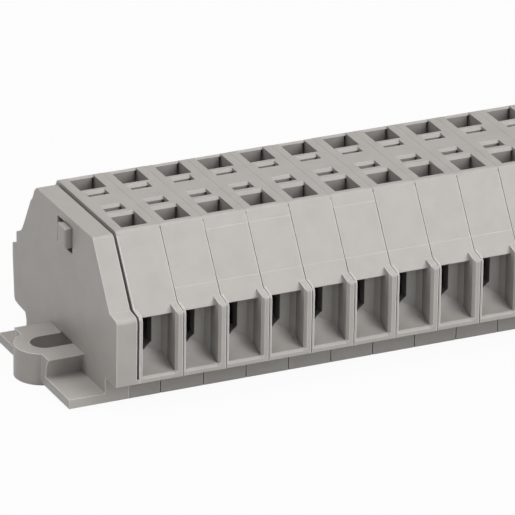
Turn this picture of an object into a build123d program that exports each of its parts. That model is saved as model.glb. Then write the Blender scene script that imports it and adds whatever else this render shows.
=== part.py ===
from build123d import *
import os

# Terminal strip of spring clamp modules between two flanged end plates. Millimetres.
# While it is drawn, X runs along the strip from the left end plate's outer face, Y from the
# front face to the rear and Z up from the underside of the foot. Every piece is moved to the
# shared frame (middle of the strip, lowest point on the ground) as it is written.

# Driving sizes
POLES = 11
PITCH = 5.0
PLATE_THICK = 2.75
DEPTH = 27.8
MODULE_TOP = 17.85
PLATE_TOP = MODULE_TOP - 0.29
PAD_PROUD = 0.35
LENGTH_MODULES = POLES * PITCH
STRIP_MIDDLE = PLATE_THICK + LENGTH_MODULES / 2
CLAMP_MIDDLE = DEPTH / 2 + 0.4

# Clearances
FACE_GAP = 0.02
HOOK_PLAY = 0.05
KEY_PLAY = 0.05
BAR_PLAY = 0.05
WINDOW_PLAY = 0.05
SPRING_ROOF = 0.3

# Outline of a module from the side: foot, slants and the steps of the marking field
FOOT_SPLIT = 2.93
FOOT_SHIFT = 1.3
FOOT_FRONT = 2.9
FOOT_REAR = DEPTH - 3.8
HEEL_HIGH = 1.85
WAIST = 7.2
WAIST_IN = 0.3
SHOULDER = 10.45
SHOULDER_ROUND = 0.6
SLANT_LOW = 10.77
SLANT_FRONT_LOW = 1.65
SLANT_FRONT_TOP = 6.4
SLANT_REAR_LOW = DEPTH - 1.6
SLANT_REAR_TOP = DEPTH - 6.03
TOP_SOFT = 0.15
FIELD_LOW = SLANT_LOW + 1.28
FIELD_HIGH = MODULE_TOP - 1.15
FIELD_STEP = 0.05
MARKED_POLES = (3, 4, 6)
PARTING_WIDE = 0.08
PARTING_DEEP = 0.12

# Wire funnel, the same for both sides of the middle plane of the clamps
LIP = 3.6
LIP_FLAT = 0.6
LIP_SOFT = 0.22
LINTEL = 9.95
SIDE_WALL = 0.25
RIB_WIDE = 0.87
RIB_SOFT = 0.3
SCOOP_R = 2.8
FUNNEL_CORNER = 2.75
FUNNEL_CORNER_SOFT = 0.5
FUNNEL_BACK_X = 1.9
FUNNEL_BACK_Y = 3.35
FUNNEL_DEEP = 3.4
WIRE_HOLE_LEFT = 0.35
WIRE_HOLE_RIGHT = PITCH - 2.35
WIRE_HOLE_LOW = 5.3
WIRE_HOLE_HIGH = 9.6
WIRE_HOLE_SOFT = 0.8

# Clamp chamber
CHAMBER_FRONT = 4.3
CHAMBER_BACK = CLAMP_MIDDLE - 1.85
CHAMBER_LOW = 4.6
CHAMBER_HIGH = MODULE_TOP - 3.65
CHAMBER_SLOPE_LOW = CHAMBER_HIGH - 1.6
CHAMBER_SLOPE_IN = 0.8
CHAMBER_WALL = 0.94

# Holes in the top: left, right, front and rear edges
DRIVER_LEFT = 0.9
DRIVER_RIGHT = PITCH - 1.05
DRIVER_FRONT = (CLAMP_MIDDLE - 7.15, CLAMP_MIDDLE - 3.6)
DRIVER_REAR = (CLAMP_MIDDLE + 3.65, CLAMP_MIDDLE + 7.0)
DRIVER_FRONT_SOFT = 0.3
DRIVER_REAR_SOFT = 0.2
TEST_LEFT = 1.1
TEST_RIGHT = PITCH - 1.5
TEST_FRONT = (CLAMP_MIDDLE - 2.65, CLAMP_MIDDLE - 1.2)
TEST_REAR = (CLAMP_MIDDLE + 1.75, CLAMP_MIDDLE + 2.9)
TEST_SOFT = 0.3
SLIT_WIDE = 0.22
SLIT_DEEP = 0.3

# Current bar
BAR_THICK = 0.8
BAR_TOP = 10.2
BAR_LEFT = 0.93
BAR_WIDE = PITCH - 2.0
BAR_END_WIDE = PITCH - 2.9
BAR_TIP = 4.45
BAR_SHOULDER = 5.9

# Clamp spring
STRIP_THICK = 0.3
SPRING_WIDE = PITCH - 2.1
SPRING_TOP = CHAMBER_HIGH - SPRING_ROOF
SPRING_BEND = 0.65
SPRING_CREASE = 0.3
SPRING_LEG = 5.0
SPRING_FOOT = 6.0
SPRING_BACK = CHAMBER_BACK - 0.9
SPRING_LOW = 8.7
WINDOW_HIGH = BAR_TOP + 1.4

# Latch hook of a module and the pocket that takes it
HOOK_FRONT = CLAMP_MIDDLE - 0.3
HOOK_REAR = CLAMP_MIDDLE + 1.0
HOOK_LOW = MODULE_TOP - 4.2
HOOK_HIGH = MODULE_TOP - 1.95
HOOK_LONG = PLATE_THICK
BARB_LONG = 0.9
BARB_OUT = 0.32
POCKET_FRONT = HOOK_FRONT - 0.4

# Locating key and its hole
KEY_HALF = 0.8
KEY_LONG = 1.5
KEY_HIGH = 6.0
HOLE_OVER = 0.1

# End plate: the groove beside the first module, the window and the release tongue in it
GROOVE_LEFT = PLATE_THICK - 0.39
GROOVE_RIGHT = PLATE_THICK - 0.13
GROOVE_DEEP = 0.5
GROOVE_FLOOR = 3.4
PLATE_WINDOW = (CLAMP_MIDDLE - 2.65, CLAMP_MIDDLE + 1.4)
PLATE_WINDOW_HIGH = MODULE_TOP - 1.25
TONGUE = (CLAMP_MIDDLE - 2.35, CLAMP_MIDDLE - 0.35)
TONGUE_ROOT = (1.2, 2.2)
TONGUE_HEAD_LOW = MODULE_TOP - 3.65
TONGUE_HEAD_HIGH = MODULE_TOP - 1.38
TONGUE_OUT_LOW = 0.75
TONGUE_OUT_HIGH = 0.8
TONGUE_SOFT = 0.2

# Flange with its screw eye
FLANGE_OUT = 4.15
FLANGE_THICK = 1.05
FLANGE_REAR = DEPTH - 6.0
BOSS_TOP = 3.3
BOSS_OUT = 4.1
BOSS_HALF = 4.7
BOSS_WAIST_HALF = 3.84
BOSS_WAIST = 1.31
BOSS_HOLLOW = 0.25
SCREW_Y = DEPTH / 2 - 0.8
NOSE_X = -2.82
NOSE_R = 3.1
SLOT_R = 1.575
SLOT_OUTER = -2.6
SLOT_INNER = 0.3
SLOT_HIGH = 3.5

ROOT = 0.3
BEYOND = 1.0
TO_FRAME = Location((-STRIP_MIDDLE, -DEPTH / 2, PAD_PROUD))


def block(x0, x1, y0, y1, z0, z1):
    """A box between two corners."""
    middle = Pos((x0 + x1) / 2, (y0 + y1) / 2, (z0 + z1) / 2)
    return middle * Box(x1 - x0, y1 - y0, z1 - z0)


def side_face(points):
    """A flat face seen from the side, from its (y, z) corners."""
    return Plane.YZ * make_face(Polyline(*points, close=True))


def along_x(face, x0, x1):
    """A side face drawn out along the strip."""
    return Pos(x0, 0, 0) * extrude(face, amount=x1 - x0, dir=(1, 0, 0))


def inset(points, margin):
    """The side face within these corners, smaller all round by a margin."""
    flat = make_face(Polyline(*points, close=True))
    return Plane.YZ * offset(flat, -margin, kind=Kind.INTERSECTION)


def corner_of(face, y, z):
    """The corner of a flat, unplaced face that lies nearest to (y, z)."""
    return face.vertices().sort_by_distance(Vector(y, z, 0))[0]


def to_rear(solid):
    """The same form at the rear clamp."""
    return mirror(solid, about=Plane.XZ.offset(-CLAMP_MIDDLE))


def front_slant(z):
    """How far back the front slant lies at a height."""
    share = (z - SLANT_LOW) / (MODULE_TOP - SLANT_LOW)
    return SLANT_FRONT_LOW + share * (SLANT_FRONT_TOP - SLANT_FRONT_LOW)


def rear_slant(z):
    """How far back the rear slant lies at a height."""
    share = (z - SLANT_LOW) / (MODULE_TOP - SLANT_LOW)
    return SLANT_REAR_LOW + share * (SLANT_REAR_TOP - SLANT_REAR_LOW)


def module_points(steps):
    """Corners of a module from the side. Above each step the slants lie a little deeper."""
    front = [(SLANT_FRONT_LOW, SLANT_LOW)]
    rear = [(SLANT_REAR_LOW, SLANT_LOW)]
    deep = 0.0
    for height in (*steps, MODULE_TOP):
        front.append((front_slant(height) + deep, height))
        rear.append((rear_slant(height) - deep, height))
        if height < MODULE_TOP:
            deep = deep + FIELD_STEP
            front.append((front_slant(height) + deep, height))
            rear.append((rear_slant(height) - deep, height))
    low = [
        (DEPTH, SHOULDER),
        (DEPTH, WAIST),
        (DEPTH - WAIST_IN, FOOT_SPLIT),
        (0.0, FOOT_SPLIT),
        (0.0, SHOULDER),
    ]
    return front + rear[::-1] + low


def module_face(steps=()):
    """The outline of a module with its round shoulders and soft top corners."""
    points = module_points(steps)
    flat = make_face(Polyline(*points, close=True))
    for y in (0.0, DEPTH):
        flat = fillet(corner_of(flat, y, SHOULDER), SHOULDER_ROUND)
    for y in (SLANT_FRONT_TOP, SLANT_REAR_TOP):
        flat = chamfer(corner_of(flat, y, MODULE_TOP), TOP_SOFT)
    return Plane.YZ * flat


foot_points = [
    (FOOT_FRONT, 0.0),
    (FOOT_FRONT, FOOT_SPLIT),
    (DEPTH - WAIST_IN, FOOT_SPLIT),
    (DEPTH - 0.4, HEEL_HIGH),
    (DEPTH - 3.6, HEEL_HIGH),
    (FOOT_REAR, 1.5),
    (FOOT_REAR, 0.0),
]


def parting_grooves(foot_right):
    """Fine grooves down the slants, faces and foot beside the joint with the next piece."""
    ring = module_face() - inset(module_points(()), PARTING_DEEP)
    upper = along_x(ring, PITCH - PARTING_WIDE, PITCH)
    upper = upper & block(0, PITCH, -BEYOND, DEPTH + BEYOND, FOOT_SPLIT, MODULE_TOP - TOP_SOFT)
    front = block(foot_right - PARTING_WIDE, foot_right, 0, FOOT_FRONT + PARTING_DEEP, 0, FOOT_SPLIT)
    return upper + front


def clamp_chamber():
    """The room of one clamp, open to the left, where the next piece closes it."""
    points = [
        (CHAMBER_FRONT, CHAMBER_LOW),
        (CHAMBER_FRONT, CHAMBER_SLOPE_LOW),
        (CHAMBER_FRONT + CHAMBER_SLOPE_IN, CHAMBER_HIGH),
        (CHAMBER_BACK, CHAMBER_HIGH),
        (CHAMBER_BACK, CHAMBER_LOW),
    ]
    return along_x(side_face(points), -BEYOND, PITCH - CHAMBER_WALL)


def scoop(right):
    """The funnel's floor and headroom: level at the lip, then curving up to the back."""
    back = LIP_FLAT + SCOOP_R
    floor = RadiusArc((LIP_FLAT, LIP), (back, LIP + SCOOP_R), -SCOOP_R, short_sagitta=True)
    rest = Polyline(
        (back, LIP + SCOOP_R),
        (back, LINTEL),
        (-BEYOND, LINTEL),
        (-BEYOND, LIP),
        (LIP_FLAT, LIP),
    )
    return along_x(Plane.YZ * make_face([floor, *rest.edges()]), SIDE_WALL, right)


def wire_hole():
    """The opening from the funnel into the chamber, its lower right corner cut off."""
    outline = Polyline(
        (WIRE_HOLE_LEFT, WIRE_HOLE_LOW),
        (WIRE_HOLE_RIGHT - WIRE_HOLE_SOFT, WIRE_HOLE_LOW),
        (WIRE_HOLE_RIGHT, WIRE_HOLE_LOW + WIRE_HOLE_SOFT),
        (WIRE_HOLE_RIGHT, WIRE_HOLE_HIGH),
        (WIRE_HOLE_LEFT, WIRE_HOLE_HIGH),
        close=True,
    )
    wall = CHAMBER_FRONT - FUNNEL_BACK_Y
    hole = extrude(Plane.XZ * make_face(outline), amount=wall + 2 * ROOT, dir=(0, 1, 0))
    return Pos(0, FUNNEL_BACK_Y - ROOT, 0) * hole


def funnel():
    """A wire funnel: a tower over the scoop, with a soft lip, a soft rib and the wire hole."""
    right = PITCH - RIB_WIDE
    plan = make_face(
        Polyline(
            (SIDE_WALL, -BEYOND),
            (right, -BEYOND),
            (right, FUNNEL_CORNER),
            (FUNNEL_BACK_X, FUNNEL_BACK_Y),
            (SIDE_WALL, FUNNEL_DEEP),
            close=True,
        )
    )
    plan = chamfer(corner_of(plan, right, FUNNEL_CORNER), FUNNEL_CORNER_SOFT)
    room = scoop(right) & extrude(plan, amount=DEPTH, dir=(0, 0, 1))
    lip_points = [
        (-BEYOND, LIP + LIP_SOFT),
        (-BEYOND, LIP - LIP_SOFT),
        (0.0, LIP - LIP_SOFT),
        (LIP_SOFT, LIP),
        (LIP_SOFT, LIP + LIP_SOFT),
    ]
    lip = along_x(side_face(lip_points), SIDE_WALL, right)
    return room + lip + wire_hole() + rib_edge(right)


def rib_edge(right):
    """The soft left edge of a rib, up to its shoulder."""
    outline = Polyline(
        (right - RIB_SOFT, -BEYOND),
        (right + RIB_SOFT, -BEYOND),
        (right + RIB_SOFT, 0.0),
        (right, RIB_SOFT),
        (right - RIB_SOFT, RIB_SOFT),
        close=True,
    )
    return Pos(0, 0, LIP) * extrude(make_face(outline), amount=MODULE_TOP - LIP, dir=(0, 0, 1))


def lintel_cut(slant, outside):
    """Takes the shoulder away between the ribs, so that the slant ends in a straight lintel."""
    points = [
        (outside, LINTEL),
        (slant(LINTEL), LINTEL),
        (slant(SLANT_LOW), SLANT_LOW),
        (outside, SLANT_LOW),
    ]
    return along_x(side_face(points), SIDE_WALL, PITCH - RIB_WIDE)


def top_hole(x0, x1, edges, bottom, soft):
    """A square hole in the top with a soft rear edge and a fine slit in its rear right corner."""
    y0, y1 = edges
    points = [
        (y0, bottom),
        (y0, MODULE_TOP + BEYOND),
        (y1 + soft, MODULE_TOP + BEYOND),
        (y1 + soft, MODULE_TOP),
        (y1, MODULE_TOP - soft),
        (y1, bottom),
    ]
    slit = block(x1 - SLIT_WIDE, x1, y1 - SLIT_DEEP, y1 + SLIT_DEEP, bottom, MODULE_TOP - soft)
    return along_x(side_face(points), x0, x1) + slit


def key(x1):
    """The square locating key on a piece's left face at x1."""
    front = CLAMP_MIDDLE - KEY_HALF
    low = KEY_HIGH - KEY_HALF
    return block(x1 - KEY_LONG, x1 + ROOT, front, front + 2 * KEY_HALF, low, low + 2 * KEY_HALF)


def key_hole(x1):
    """The hole for the next piece's key, in the right face at x1."""
    half = KEY_HALF + KEY_PLAY
    front = CLAMP_MIDDLE - half
    low = KEY_HIGH - half
    deep = x1 - KEY_LONG - HOLE_OVER
    return block(deep, x1 + ROOT, front, front + 2 * half, low, low + 2 * half)


def hook(x1):
    """The latch hook on a piece's left face at x1, with a barb towards the rear."""
    tip = x1 - HOOK_LONG
    shoulder = tip + BARB_LONG
    plan = Polyline(
        (x1 + ROOT, HOOK_FRONT),
        (tip, HOOK_FRONT),
        (tip, HOOK_REAR + BARB_OUT / 3),
        (shoulder - BARB_OUT, HOOK_REAR + BARB_OUT),
        (shoulder, HOOK_REAR + BARB_OUT),
        (shoulder, HOOK_REAR),
        (x1 + ROOT, HOOK_REAR),
        close=True,
    )
    return extrude(Pos(0, 0, HOOK_LOW) * make_face(plan), amount=HOOK_HIGH - HOOK_LOW, dir=(0, 0, 1))


def hook_pocket(x1):
    """The room for the next piece's hook in the right face at x1, with the ledge for its barb."""
    ledge = x1 - HOOK_LONG + BARB_LONG + HOOK_PLAY
    low = HOOK_LOW - HOOK_PLAY
    high = HOOK_HIGH + HOOK_PLAY
    rear = HOOK_REAR + HOOK_PLAY
    mouth = block(ledge - ROOT, x1 + BEYOND, POCKET_FRONT, rear, low, high)
    deep = x1 - HOOK_LONG - HOOK_PLAY
    recess = block(deep, ledge, POCKET_FRONT, rear + BARB_OUT, low, high)
    return mouth + recess


def make_housing(number):
    """The moulded housing of one module, by its place in the strip."""
    half_gap = FACE_GAP / 2
    foot_left = -FOOT_SHIFT if number > 1 else 0.0
    foot_right = PITCH - FOOT_SHIFT if number < POLES else PITCH
    steps = [FIELD_LOW] if number > 1 else []
    if number in MARKED_POLES:
        steps.append(FIELD_HIGH)
    solid = along_x(module_face(steps), half_gap, PITCH - half_gap)
    solid = solid + along_x(side_face(foot_points), foot_left + half_gap, foot_right - half_gap)
    solid = solid - parting_grooves(foot_right)
    for room in (clamp_chamber(), funnel()):
        solid = solid - room - to_rear(room)
    solid = solid - lintel_cut(front_slant, -BEYOND) - lintel_cut(rear_slant, DEPTH + BEYOND)
    roof = CHAMBER_HIGH - ROOT
    solid = solid - top_hole(DRIVER_LEFT, DRIVER_RIGHT, DRIVER_FRONT, roof, DRIVER_FRONT_SOFT)
    solid = solid - top_hole(DRIVER_LEFT, DRIVER_RIGHT, DRIVER_REAR, roof, DRIVER_REAR_SOFT)
    for edges in (TEST_FRONT, TEST_REAR):
        solid = solid - top_hole(TEST_LEFT, TEST_RIGHT, edges, BAR_TOP, TEST_SOFT)
    bar_right = BAR_LEFT + BAR_WIDE + BAR_PLAY
    wall_rear = 2 * CLAMP_MIDDLE - CHAMBER_BACK
    bar_slot = block(-BEYOND, bar_right, CHAMBER_BACK - ROOT, wall_rear + ROOT, BAR_TOP - BAR_THICK, BAR_TOP)
    solid = solid - bar_slot - hook_pocket(PITCH) - key_hole(PITCH)
    return solid + hook(0.0) + key(0.0)


def make_bar():
    """The current bar: narrow ends for the spring windows and a tab in the wall of the housing."""
    low = BAR_TOP - BAR_THICK
    rear = 2 * CLAMP_MIDDLE
    end_in = (BAR_WIDE - BAR_END_WIDE) / 2
    tab_front = CHAMBER_BACK + BAR_PLAY
    bar = block(BAR_LEFT, BAR_LEFT + BAR_WIDE, BAR_SHOULDER, rear - BAR_SHOULDER, low, BAR_TOP)
    end_left = BAR_LEFT + end_in
    bar = bar + block(end_left, end_left + BAR_END_WIDE, BAR_TIP, rear - BAR_TIP, low, BAR_TOP)
    return bar + block(BAR_PLAY, BAR_LEFT + ROOT, tab_front, rear - tab_front, low, BAR_TOP)


def make_spring():
    """A clamp spring: foot on the bar, two bends at the back, and a front leg around the bar's end."""
    outer = [
        (SPRING_FOOT, BAR_TOP),
        (SPRING_BACK, BAR_TOP),
        (SPRING_BACK, SPRING_TOP),
        (SPRING_LEG, SPRING_TOP),
        (SPRING_LEG, SPRING_LOW),
    ]
    inner = [
        (SPRING_LEG + STRIP_THICK, SPRING_LOW),
        (SPRING_LEG + STRIP_THICK, SPRING_TOP - STRIP_THICK),
        (SPRING_BACK - STRIP_THICK, SPRING_TOP - STRIP_THICK),
        (SPRING_BACK - STRIP_THICK, BAR_TOP + STRIP_THICK),
        (SPRING_FOOT, BAR_TOP + STRIP_THICK),
    ]
    flat = make_face(Polyline(*outer, *inner, close=True))
    for y, z in outer[1:3]:
        flat = fillet(corner_of(flat, y, z), SPRING_BEND)
    flat = chamfer(corner_of(flat, SPRING_LEG, SPRING_TOP), SPRING_CREASE)
    for y, z in inner[1:4]:
        flat = chamfer(corner_of(flat, y, z), SPRING_CREASE)
    left = BAR_LEFT + (BAR_WIDE - SPRING_WIDE) / 2
    strip = along_x(Plane.YZ * flat, left, left + SPRING_WIDE)
    end_left = BAR_LEFT + (BAR_WIDE - BAR_END_WIDE) / 2
    return strip - block(
        end_left - WINDOW_PLAY,
        end_left + BAR_END_WIDE + WINDOW_PLAY,
        SPRING_LEG - STRIP_THICK,
        SPRING_LEG + 2 * STRIP_THICK,
        BAR_TOP - BAR_THICK,
        WINDOW_HIGH,
    )


# Outline of an end plate, seen from the side
plate_points = [
    (FOOT_FRONT, 0.0),
    (FOOT_FRONT, FOOT_SPLIT),
    (0.0, FOOT_SPLIT),
    (0.0, SHOULDER),
    (1.89, SLANT_LOW - 0.09),
    (SLANT_FRONT_TOP, PLATE_TOP),
    (DEPTH - 6.5, PLATE_TOP - 0.06),
    (DEPTH - 5.96, PLATE_TOP - 0.51),
    (DEPTH - 5.37, PLATE_TOP - 1.67),
    (DEPTH - 4.9, PLATE_TOP - 2.11),
    (DEPTH - 3.01, SLANT_LOW + 1.16),
    (DEPTH - 2.35, SLANT_LOW + 0.19),
    (DEPTH - 1.04, 10.3),
    (DEPTH - 1.04, 9.05),
    (DEPTH, 8.6),
    (DEPTH, WAIST),
    (DEPTH - 0.46, 2.4),
    (DEPTH - 0.68, 2.04),
    (DEPTH - 1.48, 1.89),
    (DEPTH - 3.47, 1.75),
    (FOOT_REAR, 1.0),
    (FOOT_REAR, 0.0),
]


def plate_face():
    """The outline of an end plate with its round shoulder."""
    flat = make_face(Polyline(*plate_points, close=True))
    flat = fillet(corner_of(flat, 0.0, SHOULDER), SHOULDER_ROUND)
    flat = chamfer(corner_of(flat, SLANT_FRONT_TOP, PLATE_TOP), TOP_SOFT)
    return Plane.YZ * flat


def make_boss():
    """The raised bar on the flange, hollowed at its front and rear down to a waist."""
    sole = FLANGE_THICK / 2
    middle_half = (BOSS_HALF + BOSS_WAIST_HALF) / 2 - BOSS_HOLLOW
    middle_z = (BOSS_TOP + BOSS_WAIST) / 2
    edges = [Line((SCREW_Y - BOSS_HALF, BOSS_TOP), (SCREW_Y + BOSS_HALF, BOSS_TOP))]
    for way in (-1, 1):
        top = (SCREW_Y + way * BOSS_HALF, BOSS_TOP)
        waist = (SCREW_Y + way * BOSS_WAIST_HALF, BOSS_WAIST)
        low = (SCREW_Y + way * BOSS_WAIST_HALF, sole)
        edges.append(ThreePointArc(top, (SCREW_Y + way * middle_half, middle_z), waist))
        edges.append(Line(waist, low))
    edges.append(Line((SCREW_Y - BOSS_WAIST_HALF, sole), (SCREW_Y + BOSS_WAIST_HALF, sole)))
    return along_x(Plane.YZ * make_face(edges), -BOSS_OUT, ROOT)


def screw_slot():
    """The screw slot through the nose, which ends in a half round under the plate."""
    low = -PAD_PROUD - BEYOND
    slot = block(SLOT_OUTER, SLOT_INNER, SCREW_Y - SLOT_R, SCREW_Y + SLOT_R, low, SLOT_HIGH)
    for x in (SLOT_OUTER, SLOT_INNER):
        slot = slot + Pos(x, SCREW_Y, low) * extrude(Circle(SLOT_R), amount=SLOT_HIGH - low)
    return slot


def make_plate():
    """An end plate with its groove, rim, flange and screw eye, drawn as the left one."""
    solid = along_x(plate_face(), 0.0, GROOVE_LEFT)
    solid = solid + along_x(inset(plate_points, GROOVE_DEEP), GROOVE_LEFT, GROOVE_RIGHT)
    foot = block(GROOVE_LEFT, PLATE_THICK, FOOT_FRONT, FOOT_REAR, 0.0, FOOT_SPLIT)
    web = block(GROOVE_LEFT, GROOVE_RIGHT, 0.0, DEPTH / 2, FOOT_SPLIT, GROOVE_FLOOR)
    solid = solid + foot + web + along_x(module_face(), GROOVE_RIGHT, PLATE_THICK)
    flange = block(-FLANGE_OUT, ROOT, FOOT_FRONT, FLANGE_REAR, 0.0, FLANGE_THICK)
    nose = Pos(NOSE_X, SCREW_Y, -PAD_PROUD) * extrude(Circle(NOSE_R), amount=BOSS_TOP + PAD_PROUD)
    return solid + flange + make_boss() + nose - screw_slot()


def latch_window():
    """The window in the left plate. The first module's hook catches on the ledge inside it."""
    low = HOOK_LOW - HOOK_PLAY
    ledge = PLATE_THICK - HOOK_LONG + BARB_LONG + HOOK_PLAY
    front, wide_rear = PLATE_WINDOW
    rear = HOOK_REAR + HOOK_PLAY
    through = block(-BEYOND, PLATE_THICK + BEYOND, front, rear, low, PLATE_WINDOW_HIGH)
    return through + block(-BEYOND, ledge, front, wide_rear, low, PLATE_WINDOW_HIGH)


def release_tongue():
    """The springy tongue in the window, rooted in its sill, with a head that stands out of it."""
    front, rear = TONGUE
    root_out, root_in = TONGUE_ROOT
    outline = Polyline(
        (root_out, HOOK_LOW - ROOT),
        (root_out, TONGUE_HEAD_LOW),
        (-TONGUE_OUT_LOW, TONGUE_HEAD_LOW),
        (-TONGUE_OUT_HIGH, TONGUE_HEAD_HIGH),
        (root_in, TONGUE_HEAD_HIGH),
        (root_in, HOOK_LOW - ROOT),
        close=True,
    )
    tongue = extrude(Plane.XZ * make_face(outline), amount=rear - front, dir=(0, 1, 0))
    tongue = Pos(0, front, 0) * tongue
    end = tongue.faces().sort_by(Axis.X)[0]
    return fillet(end.edges(), TONGUE_SOFT)


def write(solid, name):
    export_step(TO_FRAME * solid, "parts/" + name + ".step")


os.makedirs("parts", exist_ok=True)

plate = make_plate()
write(plate - latch_window() - key_hole(PLATE_THICK) + release_tongue(), "end_plate_left")
far_plate = mirror(plate, about=Plane.YZ.offset(STRIP_MIDDLE))
far_face = PLATE_THICK + LENGTH_MODULES
write(far_plate + hook(far_face) + key(far_face), "end_plate_right")

inner_housing = make_housing(2)
special_housings = {number: make_housing(number) for number in (1, POLES)}
marked_housing = make_housing(MARKED_POLES[0])
current_bar = make_bar()
front_spring = make_spring()
rear_spring = to_rear(front_spring)

for number in range(1, POLES + 1):
    usual = marked_housing if number in MARKED_POLES else inner_housing
    housing = special_housings.get(number, usual)
    place = Pos(PLATE_THICK + (number - 1) * PITCH, 0, 0)
    tag = "_" + str(number).zfill(2)
    write(place * housing, "housing" + tag)
    write(place * current_bar, "current_bar" + tag)
    write(place * front_spring, "clamp_spring_front" + tag)
    write(place * rear_spring, "clamp_spring_rear" + tag)
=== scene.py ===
import math
import bmesh
import bpy
from mathutils import Euler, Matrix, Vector


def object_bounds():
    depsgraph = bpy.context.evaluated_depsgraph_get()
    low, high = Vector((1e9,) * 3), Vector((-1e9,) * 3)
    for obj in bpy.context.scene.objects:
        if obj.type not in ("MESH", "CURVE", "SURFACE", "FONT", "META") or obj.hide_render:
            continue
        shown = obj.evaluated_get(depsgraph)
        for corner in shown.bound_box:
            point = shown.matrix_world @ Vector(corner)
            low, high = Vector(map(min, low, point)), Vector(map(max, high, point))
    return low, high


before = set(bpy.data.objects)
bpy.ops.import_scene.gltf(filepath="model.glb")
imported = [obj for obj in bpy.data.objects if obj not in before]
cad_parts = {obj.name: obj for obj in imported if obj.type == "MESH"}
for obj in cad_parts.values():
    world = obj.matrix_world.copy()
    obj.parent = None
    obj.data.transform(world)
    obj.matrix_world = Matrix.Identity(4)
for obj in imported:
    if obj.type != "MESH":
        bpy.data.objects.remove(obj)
cad_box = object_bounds()

# Moulded housings: eleven modules and two end plates of warm light grey polyamide, injection
# moulded in tools with a fine spark-eroded texture. It has a dull satin sheen and slightly cloudy
# colour; its thin pale edges are a painted highlight, and its darker recesses and joint gaps are
# painted shade.
MM = 0.001
POLYAMIDE_HEX = "#B3AFAB"
POLYAMIDE_CLOUD_HEX = "#AEAAA6"
# Painted highlight: the pale colour of the bright edges.
POLYAMIDE_PAINTED_HIGHLIGHT_HEX = "#F4F2EF"
# Painted shade: the colour that recesses and joint gaps darken towards.
POLYAMIDE_PAINTED_SHADE_HEX = "#3F4341"
POLYAMIDE_ROUGHNESS = 0.46
POLYAMIDE_IOR = 1.53
CLOUD_SIZE = 2.6 * MM
CLOUD_DETAIL = 3.0
CLOUD_ROUGHNESS = 0.55
CLOUD_RANGE = (0.3, 0.6)
GRAIN_SIZE = 0.16 * MM
GRAIN_DETAIL = 2.0
GRAIN_HEIGHT = 0.006 * MM
GRAIN_STRENGTH = 0.6
SHADER_SAMPLES = 8
# Painted shade in recesses: how far the occlusion reaches, where the darkening starts and is full,
# and its strength low and high up.
PLATE_PAINTED_SHADE = {"reach": 2.0 * MM, "starts": 0.4, "full": 0.05, "low": 0.5, "high": 0.5}
MODULE_PAINTED_SHADE = {"reach": 5.0 * MM, "starts": 0.56, "full": 0.12, "low": 0.8, "high": 0.42}
FUNNEL_TOP = 11.0 * MM
HOLE_LOW = 13.0 * MM
TOP_HEIGHT = cad_box[1][2] - 0.4 * MM
# The painted highlight on edges, each as two pairs of (value in, share out): how far the rounded
# surface turns, how open the place is, how far the edge leans sideways, and the joints on top, which
# stay sharp.
EDGE_RADIUS = 0.18 * MM
HIGHLIGHT_TURN = ((0.99, 0.0), (0.88, 1.0))
HIGHLIGHT_OPENNESS = ((0.45, 0.0), (0.65, 1.0))
SIDE_HIGHLIGHT_SHARE = ((0.05, 0.4), (0.3, 1.0))
TOP_JOINT_LEAN = ((0.03, 1.0), (0.2, 0.0))


def linear(code):
    """An sRGB hex colour as the linear RGBA that a shader socket takes."""
    parts = [int(code[place : place + 2], 16) / 255 for place in (1, 3, 5)]
    light = [part / 12.92 if part <= 0.04045 else ((part + 0.055) / 1.055) ** 2.4 for part in parts]
    return (*light, 1.0)


def add(tree, kind, values=None, links=None, **settings):
    """Adds one shader node with its settings, its constant sockets and its linked sockets."""
    made = tree.nodes.new(kind)
    for name, value in settings.items():
        setattr(made, name, value)
    for socket, value in (values or {}).items():
        made.inputs[socket].default_value = value
    for socket, source in (links or {}).items():
        tree.links.new(source, made.inputs[socket])
    return made


def new_material(name):
    """An empty node material with its output, and the tree to fill."""
    material = bpy.data.materials.new(name)
    material.use_nodes = True
    tree = material.node_tree
    tree.nodes.clear()
    return material, tree


def scaled(tree, source, first, last):
    """Carries a value over from the first pair to the last: (value in, value out) of each."""
    return add(
        tree,
        "ShaderNodeMapRange",
        {"From Min": first[0], "From Max": last[0], "To Min": first[1], "To Max": last[1]},
        {"Value": source},
    )


def product(tree, one, other):
    """Multiplies two values of the shader."""
    made = add(tree, "ShaderNodeMath", links={0: one, 1: other}, operation="MULTIPLY")
    return made.outputs["Value"]


def mixed(tree, share, links, values=None):
    """Mixes two colours or two directions by a share."""
    made = add(tree, "ShaderNodeMixRGB", values, {"Fac": share, **links})
    return made.outputs["Color"]


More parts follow.
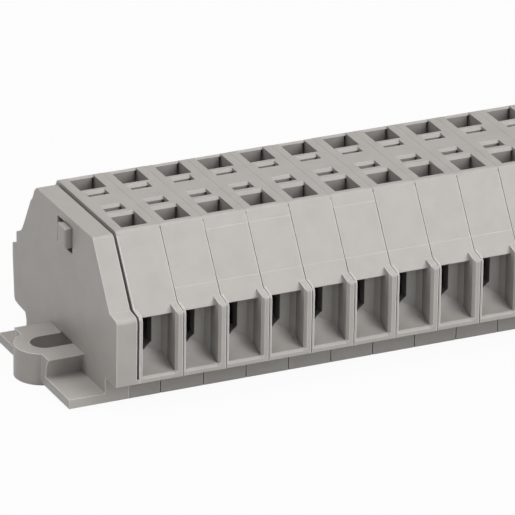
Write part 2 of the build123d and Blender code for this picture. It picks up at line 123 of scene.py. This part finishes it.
def moulded_polyamide(name, painted_shade):
    """Grey polyamide. The painted shade settings say where a recess starts to darken with painted
    shade, and how much low and high up.
    """
    material, tree = new_material(name)
    place = add(tree, "ShaderNodeTexCoord").outputs["Object"]
    cloud = add(
        tree,
        "ShaderNodeTexNoise",
        {"Scale": 1 / CLOUD_SIZE, "Detail": CLOUD_DETAIL, "Roughness": CLOUD_ROUGHNESS},
        {"Vector": place},
    )
    grain = add(
        tree,
        "ShaderNodeTexNoise",
        {"Scale": 1 / GRAIN_SIZE, "Detail": GRAIN_DETAIL},
        {"Vector": place},
    )
    tone = add(tree, "ShaderNodeValToRGB", links={"Fac": cloud.outputs["Fac"]})
    for stop, position, code in zip(
        tone.color_ramp.elements,
        CLOUD_RANGE,
        (POLYAMIDE_CLOUD_HEX, POLYAMIDE_HEX),
    ):
        stop.position = position
        stop.color = linear(code)

    # Painted shade: ambient occlusion darkens the colour in recesses, funnels and joint gaps.
    crowding = add(
        tree,
        "ShaderNodeAmbientOcclusion",
        {"Distance": painted_shade["reach"]},
        samples=SHADER_SAMPLES,
    )
    height = add(tree, "ShaderNodeSeparateXYZ", links={"Vector": place}).outputs["Z"]
    shade_by_height = scaled(tree, height, (FUNNEL_TOP, painted_shade["low"]), (HOLE_LOW, painted_shade["high"]))
    shade_share = scaled(tree, crowding.outputs["AO"], (painted_shade["starts"], 0.0), (painted_shade["full"], 1.0))
    tree.links.new(shade_by_height.outputs["Result"], shade_share.inputs["To Max"])

    surface = add(tree, "ShaderNodeNewGeometry").outputs["Normal"]
    rounded = add(
        tree,
        "ShaderNodeBevel",
        {"Radius": EDGE_RADIUS},
        samples=SHADER_SAMPLES,
    ).outputs["Normal"]
    agree = add(
        tree,
        "ShaderNodeVectorMath",
        links={0: rounded, 1: surface},
        operation="DOT_PRODUCT",
    )
    on_top = add(
        tree,
        "ShaderNodeMath",
        {1: TOP_HEIGHT},
        {0: height},
        operation="GREATER_THAN",
    )
    lean = add(tree, "ShaderNodeSeparateXYZ", links={"Vector": rounded})
    sideways = add(tree, "ShaderNodeMath", links={0: lean.outputs["X"]}, operation="ABSOLUTE")
    top_joint = product(tree, sideways.outputs["Value"], on_top.outputs["Value"])
    off_joint = scaled(tree, top_joint, *TOP_JOINT_LEAN).outputs["Result"]
    # Painted highlight on edges: strongest where the rounded normal turns, in open places and on
    # edges that lean sideways.
    turned = scaled(tree, agree.outputs["Value"], *HIGHLIGHT_TURN).outputs["Result"]
    open_place = scaled(tree, crowding.outputs["AO"], *HIGHLIGHT_OPENNESS).outputs["Result"]
    side_highlight = scaled(tree, sideways.outputs["Value"], *SIDE_HIGHLIGHT_SHARE).outputs["Result"]
    painted_highlight = product(tree, product(tree, product(tree, turned, open_place), off_joint), side_highlight)

    below_top = add(
        tree,
        "ShaderNodeMath",
        {1: TOP_HEIGHT},
        {0: height},
        operation="LESS_THAN",
    )
    facing = mixed(tree, below_top.outputs["Value"], {"Color1": surface, "Color2": rounded})
    relief = add(
        tree,
        "ShaderNodeBump",
        {"Strength": GRAIN_STRENGTH, "Distance": GRAIN_HEIGHT},
        {"Height": grain.outputs["Fac"], "Normal": facing},
    )
    # Painted highlight mixed into the colour.
    highlighted = mixed(
        tree,
        painted_highlight,
        {"Color1": tone.outputs["Color"]},
        {"Color2": linear(POLYAMIDE_PAINTED_HIGHLIGHT_HEX)},
    )
    # Painted shade mixed into the colour.
    colour = mixed(
        tree,
        shade_share.outputs["Result"],
        {"Color1": highlighted},
        {"Color2": linear(POLYAMIDE_PAINTED_SHADE_HEX)},
    )
    shader = add(
        tree,
        "ShaderNodeBsdfPrincipled",
        {"Roughness": POLYAMIDE_ROUGHNESS, "IOR": POLYAMIDE_IOR},
        {"Base Color": colour, "Normal": relief.outputs["Normal"]},
    )
    add(tree, "ShaderNodeOutputMaterial", links={"Surface": shader.outputs["BSDF"]})
    return material


def dress(names, material):
    """Gives these CAD nodes one material in every slot."""
    for name in names:
        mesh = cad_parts[name].data
        mesh.materials.clear()
        mesh.materials.append(material)


modules = [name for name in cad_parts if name.startswith("housing")]
end_plates = [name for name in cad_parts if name.startswith("end_plate")]
dress(modules, moulded_polyamide("moulded_polyamide_module", MODULE_PAINTED_SHADE))
dress(end_plates, moulded_polyamide("moulded_polyamide_end_plate", PLATE_PAINTED_SHADE))

# Current bars: electrolytic copper strip, blanked and tin plated. Tin gives a soft, slightly
# yellowish silver with drawn lines along the strip.
TIN = {
    "hex": "#C9C6BE",
    "roughness": 0.34,
    "line": 0.12 * MM,
    "line_depth": 0.004 * MM,
    "line_stretch": (1.0, 0.05, 1.0),
}
LINE_DETAIL = 2.0
LINE_STRENGTH = 0.4


def lined_metal(name, metal):
    """Metal strip with the fine lines that drawing or rolling leaves along it."""
    material, tree = new_material(name)
    place = add(tree, "ShaderNodeTexCoord")
    along = add(
        tree,
        "ShaderNodeMapping",
        {"Scale": metal["line_stretch"]},
        {"Vector": place.outputs["Object"]},
    )
    lines = add(
        tree,
        "ShaderNodeTexNoise",
        {"Scale": 1 / metal["line"], "Detail": LINE_DETAIL},
        {"Vector": along.outputs["Vector"]},
    )
    relief = add(
        tree,
        "ShaderNodeBump",
        {"Strength": LINE_STRENGTH, "Distance": metal["line_depth"]},
        {"Height": lines.outputs["Fac"]},
    )
    shader = add(
        tree,
        "ShaderNodeBsdfPrincipled",
        {"Base Color": linear(metal["hex"]), "Metallic": 1.0, "Roughness": metal["roughness"]},
        {"Normal": relief.outputs["Normal"]},
    )
    add(tree, "ShaderNodeOutputMaterial", links={"Surface": shader.outputs["BSDF"]})
    return material


bars = [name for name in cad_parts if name.startswith("current_bar")]
dress(bars, lined_metal("tinned_copper_strip", TIN))

# Clamp springs: stainless spring strip, rolled, blanked and bent. Rolling leaves a satin finish with
# fine lines along the strip; its grey is darker than bare steel, painted shade for the deep holes it
# sits in.
SHADED_SPRING_STEEL = {
    "hex": "#7E7D7B",
    # Painted shade: this grey is darker than the steel's own colour.
    "roughness": 0.45,
    "line": 0.09 * MM,
    "line_depth": 0.003 * MM,
    "line_stretch": (1.0, 0.06, 0.06),
}
springs = [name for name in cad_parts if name.startswith("clamp_spring")]
dress(springs, lined_metal("rolled_spring_steel", SHADED_SPRING_STEEL))

# Floor: a plain white table, a hair below the strip so that they share no plane. It looks white
# to the camera and keeps a faint soft shadow.
FLOOR_HALF = 3.0
FLOOR_GAP = 0.02 * MM
FLOOR_HEX = "#C6C6C4"
FLOOR_WHITE_SHARE = 0.95


def table_white():
    material, tree = new_material("table_white")
    matt = add(tree, "ShaderNodeBsdfDiffuse", {"Color": linear(FLOOR_HEX)})
    white = add(tree, "ShaderNodeEmission", {"Color": linear("#FFFFFF"), "Strength": 1.0})
    path = add(tree, "ShaderNodeLightPath")
    seen = path.outputs["Is Camera Ray"]
    for other in ("Is Glossy Ray", "Is Transmission Ray"):
        either = add(
            tree,
            "ShaderNodeMath",
            links={0: seen, 1: path.outputs[other]},
            operation="ADD",
            use_clamp=True,
        )
        seen = either.outputs["Value"]
    share = add(
        tree,
        "ShaderNodeMath",
        {1: FLOOR_WHITE_SHARE},
        {0: seen},
        operation="MULTIPLY",
    )
    both = add(
        tree,
        "ShaderNodeMixShader",
        links={"Fac": share.outputs["Value"], 1: matt.outputs["BSDF"], 2: white.outputs["Emission"]},
    )
    add(tree, "ShaderNodeOutputMaterial", links={"Surface": both.outputs["Shader"]})
    return material


sheet = bmesh.new()
bmesh.ops.create_grid(sheet, x_segments=1, y_segments=1, size=FLOOR_HALF)
floor_mesh = bpy.data.meshes.new("floor")
sheet.to_mesh(floor_mesh)
sheet.free()
floor_mesh.materials.append(table_white())
floor = bpy.data.objects.new("floor", floor_mesh)
floor.location.z = cad_box[0][2] - FLOOR_GAP
bpy.context.scene.collection.objects.link(floor)

# Light: five broad lamps, two high above the front and the back, and three lower ones in front, at
# the front left and at the left. Each has its height, its turn from the front towards the left and
# its width.
LAMP_DISTANCE = 1.2
LAMPS = {
    "front_above": {"height": 75, "turn": 0, "width": 1.2, "power": 5.8},
    "rear_above": {"height": 75, "turn": 180, "width": 1.2, "power": 6.6},
    "left": {"height": 35, "turn": 110, "width": 0.8, "power": 2.5},
    "front_low": {"height": 30, "turn": -30, "width": 0.8, "power": 8.0},
    "front_left": {"height": 25, "turn": 45, "width": 0.8, "power": 1.2},
}

for name, lamp in LAMPS.items():
    height = math.radians(lamp["height"])
    turn = math.radians(lamp["turn"])
    level = math.cos(height)
    towards = Vector((-math.sin(turn) * level, -math.cos(turn) * level, math.sin(height)))
    lamp_data = bpy.data.lights.new(name, "AREA")
    lamp_data.shape = "DISK"
    lamp_data.size = lamp["width"]
    lamp_data.energy = lamp["power"]
    lamp_object = bpy.data.objects.new(name, lamp_data)
    lamp_object.location = towards * LAMP_DISTANCE
    lamp_object.rotation_euler = towards.to_track_quat("Z", "Y").to_euler()
    bpy.context.scene.collection.objects.link(lamp_object)

world = bpy.data.worlds.new("room")
world.use_nodes = True
bpy.context.scene.world = world
room = world.node_tree
room.nodes.clear()
dark = add(room, "ShaderNodeBackground", {"Color": linear("#000000")})
add(room, "ShaderNodeOutputWorld", links={"Surface": dark.outputs["Background"]})

# Camera: stands to the left in front of the strip, looking down on it with a very long lens,
# as the photograph's perspective shows.
CAMERA_AIM = Vector((-0.0045717, 0.0061585, 0.0058574))
CAMERA_DISTANCE = 0.75052
CAMERA_TURN = Euler((math.radians(66.5288), math.radians(-0.8107), math.radians(-24.9645)))
CAMERA_LENS = 481.63

camera_data = bpy.data.cameras.new("camera")
camera_data.sensor_width = 36.0
camera_data.lens = CAMERA_LENS
camera = bpy.data.objects.new("camera", camera_data)
camera.rotation_euler = CAMERA_TURN
camera.location = CAMERA_AIM + CAMERA_TURN.to_matrix() @ Vector((0.0, 0.0, CAMERA_DISTANCE))
bpy.context.scene.collection.objects.link(camera)
bpy.context.scene.camera = camera
bpy.context.scene.view_settings.view_transform = "Standard"
